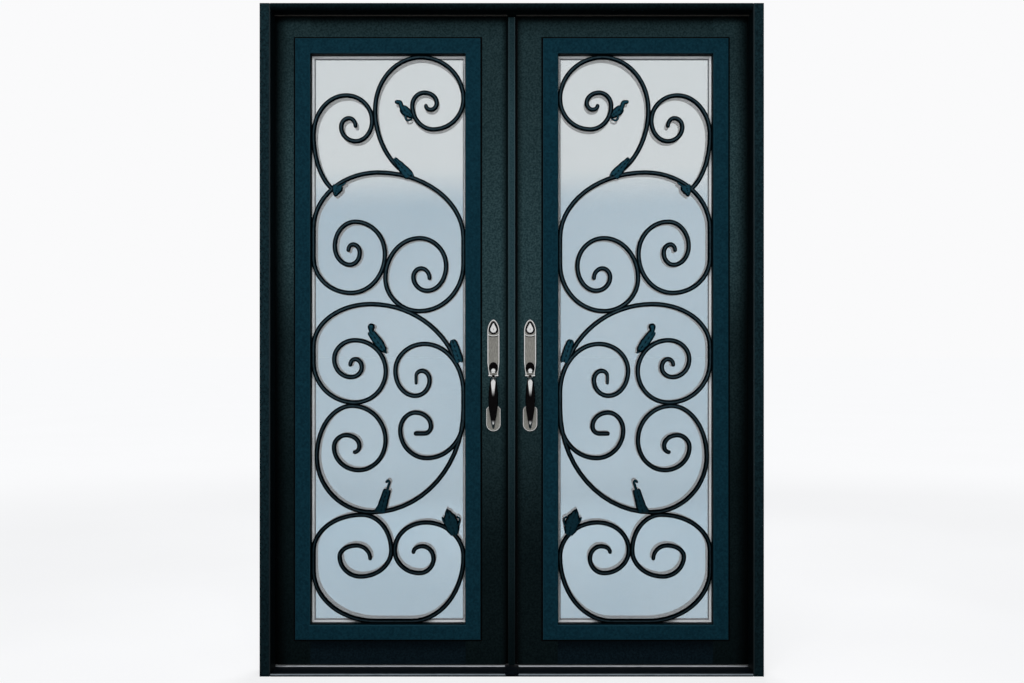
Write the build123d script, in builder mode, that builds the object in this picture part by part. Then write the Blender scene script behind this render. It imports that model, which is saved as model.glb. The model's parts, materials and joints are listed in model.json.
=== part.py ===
from build123d import *
from math import atan2, degrees, hypot
import os

# A double wrought iron entry door in its steel frame, in millimetres.
# It stands on z = 0, shows its scrollwork to -Y, and its two leaves open towards +Y.

# Frame
frame_width = 1860.0
frame_height = 2484.5
frame_depth = 150.0
jamb_face = 39.5
head_face = 24.0
frame_bevel = 5.0
stop_lap = 11.0

# Running gaps and fits
edge_gap = 5.0
meeting_gap = 10.0
seat_gap = 0.3
pin_gap = 0.05
knuckle_gap = 1.0

# Threshold
threshold_height = 10.0
bead_height = 5.0
bead_depth = 8.0
nosing_height = 5.0
nosing_depth = 10.0

# Leaves
leaf_thickness = 50.0
hinge_stile_width = 142.5
meeting_stile_width = 151.5
rail_height = 150.0
moulding_width = 56.0
moulding_proud = 12.0
moulding_bevel = 3.0
glass_thickness = 16.0
glazing_width = 40.0
glazing_lap = 10.0
glazing_proud = 10.0

# Astragal, a flange on a web, on the edge of the left leaf
astragal_width = 25.0
astragal_proud = 12.0
astragal_sink = 8.0
astragal_bevel = 3.0

# Scrollwork
bar_size = 17.0
bar_sides = 8
scroll_setback = 13.0
cast_leaf_thickness = 9.0
leaf_curl_radius = 7.0
leaf_curl_bar_radius = 4.5

# Entry handle
handle_backset = 46.5
lock_height = 1134.0
plate_width = 46.0
plate_drop = 28.0
plate_rise = 186.0
plate_arch = 42.0
plate_waist = 34.0
plate_taper = 48.0
plate_thickness = 7.0
plate_bevel = 2.0
foot_plate_width = 54.0
foot_plate_height = 94.0
foot_plate_drop = 235.0
foot_plate_slope = 9.0
deadbolt_rise = 148.0
deadbolt_radius = 13.8
deadbolt_tip = 25.8
deadbolt_tip_radius = 4.0
deadbolt_proud = 7.0
deadbolt_bevel = 2.5
recess_width = 4.8
recess_depth = 2.5
plug_radius = 6.0
plug_proud = 2.0
keyway_width = 1.6
keyway_length = 7.0
keyway_depth = 3.0
grip_top_drop = 37.0
grip_foot_drop = 216.0
grip_reach = 52.0
grip_width = 36.0
grip_depth = 22.0

# Thumb latch
thumb_width = 20.0
thumb_reach = 38.0
thumb_thickness = 5.0
thumb_tilt = 20.0
thumb_hub_radius = 6.0
thumb_pin_radius = 2.5
thumb_standoff = 8.0
ear_thickness = 4.0
ear_radius = 6.0

# Inside lever set
inside_plate_width = 44.0
inside_plate_height = 236.0
inside_plate_thickness = 6.0
lever_hub_radius = 12.0
lever_standoff = 50.0
lever_length = 118.0
lever_height = 20.0
lever_thickness = 14.0
lever_end_round = 4.0
turn_width = 12.0
turn_length = 34.0
turn_proud = 22.0

# Hinges
hinge_length = 120.0
knuckle_radius = 9.0
hinge_pin_radius = 4.0
hinge_stand = 1.0
hinge_tab_width = 21.0
hinge_tab_thickness = 4.0
hinge_height_shares = (0.1, 0.5, 0.9)

# Places that follow from the sizes
front_y = -frame_depth / 2
back_y = frame_depth / 2
leaf_back_y = back_y
leaf_front_y = leaf_back_y - leaf_thickness
stop_back_y = leaf_front_y - edge_gap
opening_x = frame_width / 2 - jamb_face
soffit_z = frame_height - head_face
hinge_edge_x = opening_x + stop_lap
rebate_x = hinge_edge_x + edge_gap
meeting_edge_x = astragal_width / 2 + meeting_gap
leaf_bottom = threshold_height + bead_height + edge_gap
leaf_top = soffit_z + stop_lap
rebate_z = leaf_top + edge_gap
leaf_height = leaf_top - leaf_bottom
light_outer_x = hinge_edge_x - hinge_stile_width
light_inner_x = meeting_edge_x + meeting_stile_width
light_width = light_outer_x - light_inner_x
light_x = (light_outer_x + light_inner_x) / 2
light_bottom = leaf_bottom + rail_height
light_top = leaf_top - rail_height
light_height = light_top - light_bottom
light_z = (light_bottom + light_top) / 2
scroll_front_y = leaf_front_y + scroll_setback
scroll_mid_y = scroll_front_y + bar_size / 2
handle_x = meeting_edge_x + handle_backset
plate_face_y = leaf_front_y - plate_thickness
recess_y = plate_face_y + recess_depth
deadbolt_z = lock_height + deadbolt_rise
hinge_x = (hinge_edge_x + rebate_x) / 2
hinge_y = leaf_back_y + hinge_stand + knuckle_radius
hinge_zs = [leaf_bottom + leaf_height * share for share in hinge_height_shares]

# Each scroll bar is drawn through its quarter turn points: where it runs level and where it runs
# upright, in turn, from one curled end to the other. They were read off the photograph of the left
# leaf, in pixels, inside the box that the bars' centre lines fill. A run along an axis is straight.
# The bars that curl at both ends and come back to themselves are two halves that meet in the middle.
scroll_left_pixel = 313.3
scroll_right_pixel = 463.6
scroll_top_pixel = 57.5
scroll_bottom_pixel = 620.4
scroll_pixels = {
    "crown_right": [
        (426, 106), (431, 109.8), (436.8, 103), (424.5, 92.8), (412.3, 106), (433.5, 129.5),
        (463.6, 99), (421, 57.5), (375, 110), (430, 180),
    ],
    "crown_left": [
        (355.3, 126), (349, 118.3), (341, 127), (355.5, 141.3), (372, 121), (346, 95.5),
        (313.3, 135), (345, 194),
    ],
    "upper_left": [
        (348.2, 250), (352.9, 244.4), (359.6, 252.8), (349.6, 264.7), (334.6, 246), (355.1, 221.7),
        (384.9, 254), (350.7, 292.8), (313.3, 258), (313.3, 228), (378, 172.5),
    ],
    "upper_right": [
        (429.5, 278), (421.2, 268.3), (413.4, 277), (427.3, 290.6), (446.2, 266), (419.6, 238.1),
        (385.3, 278), (419.5, 311), (463.6, 264), (463.6, 238), (378, 172.5),
    ],
    "middle_upper": [
        (350.1, 364.5), (355.1, 358.9), (361.6, 367), (350.7, 376.9), (334, 359), (354.6, 340),
        (385.7, 371), (354.5, 402.3), (313.3, 362), (313.3, 346), (370.7, 303.9), (462, 392),
    ],
    "middle_right": [
        (416, 383), (416, 376), (421.8, 370.6), (429.6, 380), (415.1, 395.6), (395.3, 370.6),
        (424.6, 343.7), (463.6, 392), (463.6, 418), (427, 457.8), (400.2, 430), (415.5, 412.3),
        (431, 426), (424.5, 433.2), (416, 433.2),
    ],
    "middle_lower": [
        (354.5, 451.8), (359.2, 445.5), (346, 434.8), (333.8, 447), (358.5, 469.8), (385.5, 440),
        (352, 405.5), (316.5, 456), (372, 511.8), (463.6, 408),
    ],
    "lower_left": [
        (370, 558), (356.2, 545), (339.4, 556), (360.5, 576), (391.2, 550), (362, 514.3),
        (313.3, 550), (313.3, 570), (375, 620.4), (394, 620.4),
    ],
    "lower_right": [
        (413.5, 551.5), (422.5, 545.8), (433.6, 558), (419.5, 572.6), (394.6, 549.5), (426, 522),
        (463.6, 556), (412, 620.4), (394, 620.4),
    ],
}

# The one bar that starts level, and how much of its last quarter turn a bar keeps that ends on another
level_start_scroll = "middle_lower"
last_turn_shares = {"crown_right": 0.75, "crown_left": 0.72, "middle_upper": 0.78}

# Cast leaves, each on the front of a bar: the pixels of its root and of its tip, its width in pixels,
# where along its length it is widest, and the hand of the curl at its tip, if it has one
cast_leaf_pixels = [
    ((413.5, 121.5), (399.8, 105.5), 10.4, 0.45, 1),
    ((411, 178), (395, 156.5), 9, 0.35, 0),
    ((345, 184), (332, 198), 9, 0.35, 0),
    ((386.3, 353.5), (370.3, 330), 11.6, 0.4, -1),
    ((462, 362.5), (449.5, 339.5), 7.4, 0.45, 0),
    ((379.5, 513), (389, 484), 9.6, 0.3, 1),
    ((455.2, 535), (446.5, 507), 12.6, 0.45, 0),
]
leaf_crest_share = 0.5
leaf_curl_start_share = 0.93
leaf_curl_sweep = 230.0

# Shapes of the fittings: the swell of the plate's arch, the bow of the grip, its sections as place,
# width and depth, and the round edge of the sill's strips
arch_bulge_shares = (0.66, 0.66)
grip_bow_share = 0.48
grip_section_shares = (
    (0, 0.6, 0.8), (0.15, 0.7, 0.85), (0.38, 1, 1), (0.5, 1, 1), (0.65, 0.76, 0.95), (0.88, 0.36, 0.75),
    (1, 0.32, 0.7),
)
strip_round_share = 0.6


def export(piece, name):
    """Labels a finished piece and writes it."""
    piece.part.label = name
    export_step(piece.part, "parts/" + name + ".step")


def facade_plane(y):
    """The upright plane at y, seen from the outside: its x is X, its y is Z, its normal is -Y."""
    return Plane.XZ.offset(-y)


def pixel_length():
    """The real size of a photograph pixel on the scrollwork, across and up."""
    across = (light_width - bar_size - 2 * seat_gap) / (scroll_right_pixel - scroll_left_pixel)
    up = (light_height - bar_size - 2 * seat_gap) / (scroll_bottom_pixel - scroll_top_pixel)
    return across, up


def scroll_place(pixel, side):
    """The place in the facade plane of a pixel of the left leaf, on the leaf of that side."""
    across, up = pixel_length()
    edge = bar_size / 2 + seat_gap
    from_hinge_side = edge + (pixel[0] - scroll_left_pixel) * across
    from_bottom = edge + (scroll_bottom_pixel - pixel[1]) * up
    return side * (light_outer_x - from_hinge_side), light_bottom + from_bottom


def turn_arcs(start, end, level):
    """A quarter turn of an oval as two tangent arcs: each its centre, radius, first angle and sweep."""
    centre = Vector(start[0], end[1]) if level else Vector(end[0], start[1])
    arms = [Vector(*start) - centre, Vector(*end) - centre]
    long_arm, short_arm = sorted(arms, key=lambda arm: -arm.length)
    a, b = long_arm.length, short_arm.length
    reach = hypot(a, b)
    small = (reach - (a - b)) / 2 * reach / a
    large = (reach + (a - b)) / 2 * reach / b
    small_centre = centre + long_arm * ((a - small) / a)
    large_centre = centre - short_arm * ((large - b) / b)
    turn = 1 if arms[0].cross(arms[1]).Z > 0 else -1
    small_sweep = turn * degrees(atan2(a, b))
    sweeps = {True: small_sweep, False: turn * 90 - small_sweep}
    first_small = arms[0] is long_arm
    first_angle = degrees(atan2(arms[0].Y, arms[0].X))
    rows = []
    for is_small in (first_small, not first_small):
        place = small_centre if is_small else large_centre
        rows.append((place, small if is_small else large, first_angle, sweeps[is_small]))
        first_angle += sweeps[is_small]
    return rows


def centre_line(points, level, last_share):
    """A bar's centre line: straight runs as two points, turns as centre, radius, angle and sweep."""
    runs = []
    for start, end in zip(points, points[1:]):
        if start[0] == end[0] or start[1] == end[1]:
            runs.append((Vector(*start), Vector(*end)))
        else:
            runs.extend(turn_arcs(start, end, level))
            level = not level
    if last_share < 1:
        centre, radius, angle, sweep = runs[-1]
        kept = 90 * last_share - abs(runs[-2][3])
        runs[-1] = (centre, radius, angle, kept if sweep > 0 else -kept)
    return runs


def scroll_bar(name, side):
    """One scroll bar, lying in the XY plane: a many-sided section swept along its centre line."""
    points = [scroll_place(pixel, side) for pixel in scroll_pixels[name]]
    runs = centre_line(points, name == level_start_scroll, last_turn_shares.get(name, 1))
    with BuildPart() as bar:
        with BuildLine() as path:
            for run in runs:
                if len(run) == 2:
                    Line(*run)
                else:
                    CenterArc(*run)
        way = path.wires()[0]
        with BuildSketch(Plane(origin=way @ 0, z_dir=way % 0, x_dir=(0, 0, 1))):
            RegularPolygon(bar_size / 2, bar_sides, major_radius=False, rotation=180 / bar_sides)
        sweep(path=way)
    return bar.part


def scrollwork(side, name):
    """The welded grille of one leaf, stood up in its place."""
    bars = [scroll_bar(bar, side) for bar in scroll_pixels]
    with BuildPart() as grille:
        with Locations((0, scroll_mid_y, 0)):
            add(bars, rotation=(90, 0, 0))
    export(grille, name)


def leaf_blade(length, half_width, widest):
    """The outline of a leaf from its root at the origin to its tip, in the sketch block that calls it."""
    with BuildLine() as edge:
        for hand in (1, -1):
            Spline((0, 0), (widest, hand * half_width), (length, 0))
    return make_face(edge.edges())


def cast_leaves(side, name):
    """The cast leaves of one grille: crowned blades on the front of their bars, some with a curled tip."""
    across, _ = pixel_length()
    with BuildPart() as leaves:
        for root_pixel, tip_pixel, width_pixels, widest_share, hand in cast_leaf_pixels:
            root, tip = (Vector(*scroll_place(pixel, side)) for pixel in (root_pixel, tip_pixel))
            along = tip - root
            length = along.length
            blade = (length, width_pixels * across / 2, length * widest_share)
            place = Plane(
                origin=(root.X, scroll_front_y, root.Y), x_dir=(along.X, 0, along.Y), z_dir=(0, -1, 0)
            )
            with BuildSketch(place) as foot:
                leaf_blade(*blade)
            with BuildSketch(place.offset(cast_leaf_thickness)) as crest:
                with Locations((length * widest_share * (1 - leaf_crest_share), 0)):
                    leaf_blade(*(size * leaf_crest_share for size in blade))
            loft([foot.sketch, crest.sketch])
            if hand:
                turn = -hand * side
                centre = (length * leaf_curl_start_share, turn * leaf_curl_radius, leaf_curl_bar_radius)
                start = -90 if turn > 0 else 90 - leaf_curl_sweep
                with Locations(place * Location(centre) * Rotation(0, 0, start)):
                    Torus(leaf_curl_radius, leaf_curl_bar_radius, major_angle=leaf_curl_sweep)
    export(leaves, name)


def upright_bar(name, x0, x1, y0, y1, z0, z1):
    """A plain bar of the leaf or the frame between two corners."""
    with BuildPart() as bar:
        with BuildSketch(Plane.XY.offset(z0)):
            with Locations(((x0 + x1) / 2, (y0 + y1) / 2)):
                Rectangle(abs(x1 - x0), y1 - y0)
        extrude(amount=z1 - z0)
    export(bar, name)


def leaf_frame(side, name):
    """The stiles and rails of one leaf."""
    ys = (leaf_front_y, leaf_back_y)
    outer, inner = side * light_outer_x, side * light_inner_x
    upright_bar(name + "_hinge_stile", side * hinge_edge_x, outer, *ys, leaf_bottom, leaf_top)
    upright_bar(name + "_meeting_stile", inner, side * meeting_edge_x, *ys, leaf_bottom, leaf_top)
    upright_bar(name + "_bottom_rail", outer, inner, *ys, leaf_bottom, light_bottom)
    upright_bar(name + "_top_rail", outer, inner, *ys, light_top, leaf_top)


def light_band(name, side, face_y, inset, width, amount, bevel):
    """A frame round the light, on the face at face_y: its inner edge lies that far inside the light."""
    inner_width = light_width - 2 * inset
    inner_height = light_height - 2 * inset
    with BuildPart() as band:
        with BuildSketch(facade_plane(face_y)):
            with Locations((side * light_x, light_z)):
                Rectangle(inner_width + 2 * width, inner_height + 2 * width)
                Rectangle(inner_width, inner_height, mode=Mode.SUBTRACT)
        extrude(amount=amount)
        faces = band.faces().sort_by(Axis.Y)
        chamfer((faces[0] if amount > 0 else faces[-1]).edges(), bevel)
    export(band, name)


def glass(side, name):
    """The sealed glass of one leaf, in its light and against the inner glazing frame."""
    with BuildPart() as pane:
        with BuildSketch(facade_plane(leaf_back_y)):
            with Locations((side * light_x, light_z)):
                Rectangle(light_width - 2 * seat_gap, light_height - 2 * seat_gap)
        extrude(amount=glass_thickness)
    export(pane, name)


def lock_drop(x, margin):
    """The drop of a lock, point up, that much larger all round, in the sketch block that calls it."""
    tip_z = deadbolt_z + deadbolt_tip - deadbolt_tip_radius
    with BuildLine() as rings:
        CenterArc((x, deadbolt_z), deadbolt_radius + margin, 0, 360)
        CenterArc((x, tip_z), deadbolt_tip_radius + margin, 0, 360)
    return make_hull(rings.edges())


def entry_plates(side, name):
    """The two plates of an entry handle, with the ears and the pin that carry its thumb latch."""
    x = side * handle_x
    half = plate_width / 2
    waist = plate_waist / 2
    top = lock_height + plate_rise
    shoulder = top - plate_arch
    bottom = lock_height - plate_drop
    bulge_x, bulge_z = arch_bulge_shares
    foot_half = foot_plate_width / 2
    foot_bottom = lock_height - foot_plate_drop
    foot_top = foot_bottom + foot_plate_height
    pin_y = plate_face_y - thumb_standoff
    ear_span = thumb_width + 2 * seat_gap
    with BuildPart() as plates:
        with BuildSketch(facade_plane(leaf_front_y)):
            with BuildLine():
                Polyline(
                    (x - half, shoulder), (x - half, bottom + plate_taper), (x - waist, bottom),
                    (x + waist, bottom), (x + half, bottom + plate_taper), (x + half, shoulder),
                )
                for hand in (-1, 1):
                    swell = (x + hand * half * bulge_x, shoulder + plate_arch * bulge_z)
                    ThreePointArc((x + hand * half, shoulder), swell, (x, top))
            make_face()
        extrude(amount=plate_thickness)
        with BuildSketch(facade_plane(leaf_front_y)):
            with BuildLine():
                Polyline(
                    (x - foot_half, foot_bottom + foot_half), (x - foot_half, foot_top - foot_plate_slope),
                    (x - foot_half + foot_plate_slope, foot_top),
                    (x + foot_half - foot_plate_slope, foot_top),
                    (x + foot_half, foot_top - foot_plate_slope), (x + foot_half, foot_bottom + foot_half),
                )
                ThreePointArc(
                    (x - foot_half, foot_bottom + foot_half), (x, foot_bottom),
                    (x + foot_half, foot_bottom + foot_half),
                )
            make_face()
        extrude(amount=plate_thickness)
        chamfer(plates.faces().group_by(Axis.Y)[0].edges(), plate_bevel)
        with BuildSketch(facade_plane(plate_face_y)):
            lock_drop(x, recess_width)
        extrude(amount=-recess_depth, mode=Mode.SUBTRACT)
        for hand in (-1, 1):
            ear_x = x + hand * ear_span / 2
            with BuildSketch(Plane.YZ.offset(ear_x)):
                with Locations((pin_y, lock_height)):
                    Circle(ear_radius)
                with Locations(((pin_y + plate_face_y) / 2, lock_height)):
                    Rectangle(plate_face_y - pin_y, 2 * ear_radius)
            extrude(amount=hand * ear_thickness)
        with BuildSketch(Plane.YZ.offset(x)):
            with Locations((pin_y, lock_height)):
                Circle(thumb_pin_radius)
        extrude(amount=ear_span / 2, both=True)
    export(plates, name)


def thumb_latch(side, name):
    """A thumb piece on its pin: a hub and a tilted paddle with a round end."""
    x = side * handle_x
    pin_y = plate_face_y - thumb_standoff
    paddle = Plane(origin=(x, pin_y, lock_height), x_dir=(1, 0, 0), z_dir=(0, 0, 1))
    paddle = paddle.rotated((thumb_tilt, 0, 0))
    with BuildPart() as thumb:
        with BuildSketch(paddle.offset(-thumb_thickness / 2)):
            with Locations((0, -(thumb_reach - thumb_width / 2) / 2)):
                Rectangle(thumb_width, thumb_reach - thumb_width / 2)
            with Locations((0, -(thumb_reach - thumb_width / 2))):
                Circle(thumb_width / 2)
        extrude(amount=thumb_thickness)
        with BuildSketch(Plane.YZ.offset(x)):
            with Locations((pin_y, lock_height)):
                Circle(thumb_hub_radius)
        extrude(amount=thumb_width / 2, both=True)
        with BuildSketch(Plane.YZ.offset(x)):
            with Locations((pin_y, lock_height)):
                Circle(thumb_pin_radius + pin_gap)
        extrude(amount=thumb_width, both=True, mode=Mode.SUBTRACT)
    export(thumb, name)


def deadbolt(side, name):
    """The drop-shaped cylinder collar of a lock in its recess, its plug and its keyway."""
    x = side * handle_x
    with BuildPart() as lock:
        with BuildSketch(facade_plane(recess_y)):
            lock_drop(x, 0)
        extrude(amount=recess_depth + deadbolt_proud)
        chamfer(lock.faces().sort_by(Axis.Y)[0].edges(), deadbolt_bevel)
        with BuildSketch(facade_plane(plate_face_y - deadbolt_proud)):
            with Locations((x, deadbolt_z)):
                Circle(plug_radius)
        extrude(amount=plug_proud)
        with BuildSketch(facade_plane(plate_face_y - deadbolt_proud - plug_proud)):
            with Locations((x, deadbolt_z)):
                Rectangle(keyway_width, keyway_length)
        extrude(amount=-keyway_depth, mode=Mode.SUBTRACT)
    export(lock, name)


def grip(side, name):
    """The bowed pull of an entry handle, swollen in the middle, from one plate to the other."""
    x = side * handle_x
    top = (x, plate_face_y, lock_height - grip_top_drop)
    foot = (x, plate_face_y, lock_height - grip_foot_drop)
    bow_z = top[2] + (foot[2] - top[2]) * grip_bow_share
    with BuildLine() as bow:
        Spline(top, (x, plate_face_y - grip_reach, bow_z), foot, tangents=((0, -1, 0), (0, 1, 0)))
    with BuildPart() as pull:
        for place_share, width_share, depth_share in grip_section_shares:
            across = Plane(
                origin=bow.line @ place_share, x_dir=(1, 0, 0), z_dir=bow.line % place_share
            )
            with BuildSketch(across):
                Ellipse(grip_width * width_share / 2, grip_depth * depth_share / 2)
        loft()
    export(pull, name)


def inside_lever_set(side, name):
    """The plate, lever and thumb turn on the inside of one leaf."""
    x = side * handle_x
    plate_z = (lock_height + deadbolt_z) / 2
    face_y = leaf_back_y + inside_plate_thickness
    arm_y = face_y + lever_standoff - lever_thickness / 2
    with BuildPart() as lever:
        with BuildSketch(facade_plane(leaf_back_y)):
            with Locations((x, plate_z)):
                SlotCenterToCenter(inside_plate_height - inside_plate_width, inside_plate_width, 90)
        extrude(amount=-inside_plate_thickness)
        with BuildSketch(facade_plane(face_y)):
            with Locations((x, lock_height)):
                Circle(lever_hub_radius)
        extrude(amount=-lever_standoff)
        with BuildSketch(Plane.YZ.offset(x)):
            with Locations((arm_y, lock_height)):
                Ellipse(lever_thickness / 2, lever_height / 2)
        extrude(amount=side * lever_length)
        fillet(lever.faces().sort_by(Axis((0, 0, 0), (side, 0, 0)))[-1].edges(), lever_end_round)
        with BuildSketch(facade_plane(face_y)):
            with Locations((x, deadbolt_z)):
                SlotOverall(turn_length, turn_width, 90)
        extrude(amount=-turn_proud)
    export(lever, name)


def knuckle_span(third):
    """The lower end and the length of a knuckle, counted from the foot of its hinge."""
    length = (hinge_length - 2 * knuckle_gap) / 3
    return third * (length + knuckle_gap), length


def hinge_knuckle(x, foot_z, third, tab_side):
    """A knuckle with the tab that is welded to the frame or to the leaf."""
    start, length = knuckle_span(third)
    with BuildSketch(Plane.XY.offset(foot_z + start)) as section:
        with Locations((x, hinge_y)):
            Circle(knuckle_radius)
        with Locations((x + tab_side * hinge_tab_width / 2, leaf_back_y + hinge_tab_thickness / 2)):
            Rectangle(hinge_tab_width, hinge_tab_thickness)
    extrude(section.sketch, amount=length)


def hinge_cylinder(x, foot_z, radius, mode):
    """The pin of a hinge, or the bore for it."""
    with BuildSketch(Plane.XY.offset(foot_z)) as section:
        with Locations((x, hinge_y)):
            Circle(radius)
    extrude(section.sketch, amount=hinge_length, mode=mode)


def hinges(side, name):
    """The hinges of one leaf: the frame's knuckles with their pins, and the leaf's knuckles."""
    x = side * hinge_x
    feet = [z - hinge_length / 2 for z in hinge_zs]
    with BuildPart() as frame_halves:
        for foot_z in feet:
            hinge_knuckle(x, foot_z, 0, side)
            hinge_knuckle(x, foot_z, 2, side)
            hinge_cylinder(x, foot_z, hinge_pin_radius, Mode.ADD)
    export(frame_halves, name + "_frame_hinges")
    with BuildPart() as leaf_halves:
        for foot_z in feet:
            hinge_knuckle(x, foot_z, 1, -side)
            hinge_cylinder(x, foot_z, hinge_pin_radius + pin_gap, Mode.SUBTRACT)
    export(leaf_halves, name + "_leaf_hinges")


def jamb(side, name):
    """An upright of the frame, rebated for its leaf."""
    outer, opening, rebate = (side * x for x in (frame_width / 2, opening_x, rebate_x))
    with BuildPart() as post:
        with BuildSketch(Plane.XY) as section:
            with BuildLine():
                Polyline(
                    (outer, front_y), (opening, front_y), (opening, stop_back_y), (rebate, stop_back_y),
                    (rebate, back_y), (outer, back_y), close=True,
                )
            make_face()
            chamfer(section.vertices().sort_by(lambda v: abs(v.X) + v.Y)[0], frame_bevel)
        extrude(amount=frame_height)
    export(post, name)


def head(name):
    """The head of the frame between the jambs, rebated for the leaves."""
    with BuildPart() as lintel:
        with BuildSketch(Plane.XY.offset(soffit_z)):
            with Locations((0, (front_y + stop_back_y) / 2)):
                Rectangle(2 * opening_x, stop_back_y - front_y)
        extrude(amount=head_face)
        with BuildSketch(Plane.XY.offset(rebate_z)):
            with Locations((0, (stop_back_y + back_y) / 2)):
                Rectangle(2 * rebate_x, back_y - stop_back_y)
        extrude(amount=frame_height - rebate_z)
        front_edges = lintel.edges().group_by(Axis.Y)[0]
        chamfer(front_edges.sort_by(Axis.Z)[0], frame_bevel)
    export(lintel, name)


def threshold(name):
    """The sill between the jambs, with a seat for its nosing."""
    with BuildPart() as sill:
        with BuildSketch(Plane.XY):
            with Locations((0, (front_y + stop_back_y) / 2)):
                Rectangle(2 * opening_x, stop_back_y - front_y)
            with Locations((0, (stop_back_y + back_y) / 2)):
                Rectangle(2 * rebate_x, back_y - stop_back_y)
        extrude(amount=threshold_height)
        with BuildSketch(Plane.XY.offset(threshold_height)):
            with Locations((0, front_y + nosing_depth / 2)):
                Rectangle(2 * opening_x, nosing_depth)
        extrude(amount=-nosing_height, mode=Mode.SUBTRACT)
    export(sill, name)


def threshold_strip(name, y, depth, base, height):
    """A bright strip along the sill, rounded on top."""
    with BuildPart() as strip:
        with BuildSketch(Plane.XY.offset(base)):
            with Locations((0, y + depth / 2)):
                Rectangle(2 * opening_x, depth)
        extrude(amount=height)
        top_front = strip.faces().sort_by(Axis.Z)[-1].edges().filter_by(Axis.X).sort_by(Axis.Y)[0]
        fillet(top_front, height * strip_round_share)
    export(strip, name)


def astragal(name):
    """The cover strip over the meeting gap: a flange, short of the soffit, on a web as tall as the leaf."""
    half = astragal_width / 2
    face_y = leaf_front_y - astragal_proud
    web_y = leaf_front_y + astragal_sink
    flange_top = soffit_z - edge_gap
    with BuildPart() as cover:
        with BuildSketch(Plane.XY.offset(leaf_bottom)) as section:
            with BuildLine():
                Polyline(
                    (-half, face_y), (half, face_y), (half, leaf_back_y), (-meeting_edge_x, leaf_back_y),
                    (-meeting_edge_x, web_y), (-half, web_y), close=True,
                )
            make_face()
            chamfer(section.vertices().group_by(Axis.Y)[0], astragal_bevel)
        extrude(amount=flange_top - leaf_bottom)
        with BuildSketch(Plane.XY.offset(flange_top)):
            with Locations(((half - meeting_edge_x) / 2, (web_y + leaf_back_y) / 2)):
                Rectangle(half + meeting_edge_x, leaf_back_y - web_y)
        extrude(amount=leaf_top - flange_top)
    export(cover, name)


def leaf(side, name):
    """One leaf with its glass, grille and fittings."""
    leaf_frame(side, name)
    light_band(name + "_moulding", side, leaf_front_y, 0, moulding_width, moulding_proud, moulding_bevel)
    light_band(
        name + "_glazing_frame", side, leaf_back_y, glazing_lap, glazing_width, -glazing_proud, moulding_bevel
    )
    glass(side, name + "_glass")
    scrollwork(side, name + "_scrollwork")
    cast_leaves(side, name + "_cast_leaves")
    entry_plates(side, name + "_handle_plates")
    grip(side, name + "_handle_grip")
    thumb_latch(side, name + "_thumb_latch")
    deadbolt(side, name + "_deadbolt")
    inside_lever_set(side, name + "_inside_lever_set")
    hinges(side, name)


os.makedirs("parts", exist_ok=True)
jamb(-1, "left_jamb")
jamb(1, "right_jamb")
head("head")
threshold("threshold")
threshold_strip("threshold_nosing", front_y, nosing_depth, threshold_height - nosing_height, nosing_height)
threshold_strip("threshold_bead", leaf_front_y, bead_depth, threshold_height, bead_height)
astragal("astragal")
leaf(-1, "left")
leaf(1, "right")
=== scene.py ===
import json
import math

import bmesh
import bpy
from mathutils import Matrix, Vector


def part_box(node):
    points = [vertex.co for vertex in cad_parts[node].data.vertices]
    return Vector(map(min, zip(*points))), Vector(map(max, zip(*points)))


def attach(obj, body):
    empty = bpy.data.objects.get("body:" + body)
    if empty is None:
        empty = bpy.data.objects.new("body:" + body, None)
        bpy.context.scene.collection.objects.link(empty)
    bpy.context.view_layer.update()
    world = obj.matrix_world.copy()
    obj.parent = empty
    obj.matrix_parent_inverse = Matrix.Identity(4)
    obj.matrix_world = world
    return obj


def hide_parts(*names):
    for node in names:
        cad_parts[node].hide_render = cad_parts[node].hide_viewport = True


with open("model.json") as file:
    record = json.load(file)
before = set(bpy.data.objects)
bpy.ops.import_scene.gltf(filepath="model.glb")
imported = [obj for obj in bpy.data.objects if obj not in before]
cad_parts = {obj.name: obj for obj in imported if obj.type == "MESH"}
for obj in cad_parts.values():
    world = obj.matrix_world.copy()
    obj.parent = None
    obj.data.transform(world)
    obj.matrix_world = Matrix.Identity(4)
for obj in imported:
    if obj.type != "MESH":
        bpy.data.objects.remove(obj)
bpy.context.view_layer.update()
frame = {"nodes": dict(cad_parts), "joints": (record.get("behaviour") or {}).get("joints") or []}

# A double wrought iron entry door: paint, glass, forged scrolls, cast leaves and handle trim on the
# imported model, in metres. Left and right are as seen from the outside, which is -Y.

nodes = frame["nodes"]

# The door's depth, from the outside in
DEPTH_AXIS = Vector((0, 1, 0))

# The view: image size, focal length, middle of the door and horizon in pixels, and the camera's place
IMAGE_WIDTH = 1024
IMAGE_HEIGHT = 683
SENSOR_WIDTH = 36.0
FOCAL_PIXELS = 1231.0
CENTRE_PIXEL = 511.75
HORIZON_PIXEL = 350.45
CAMERA_Y = -4.615
CAMERA_Z = 1.203

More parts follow.
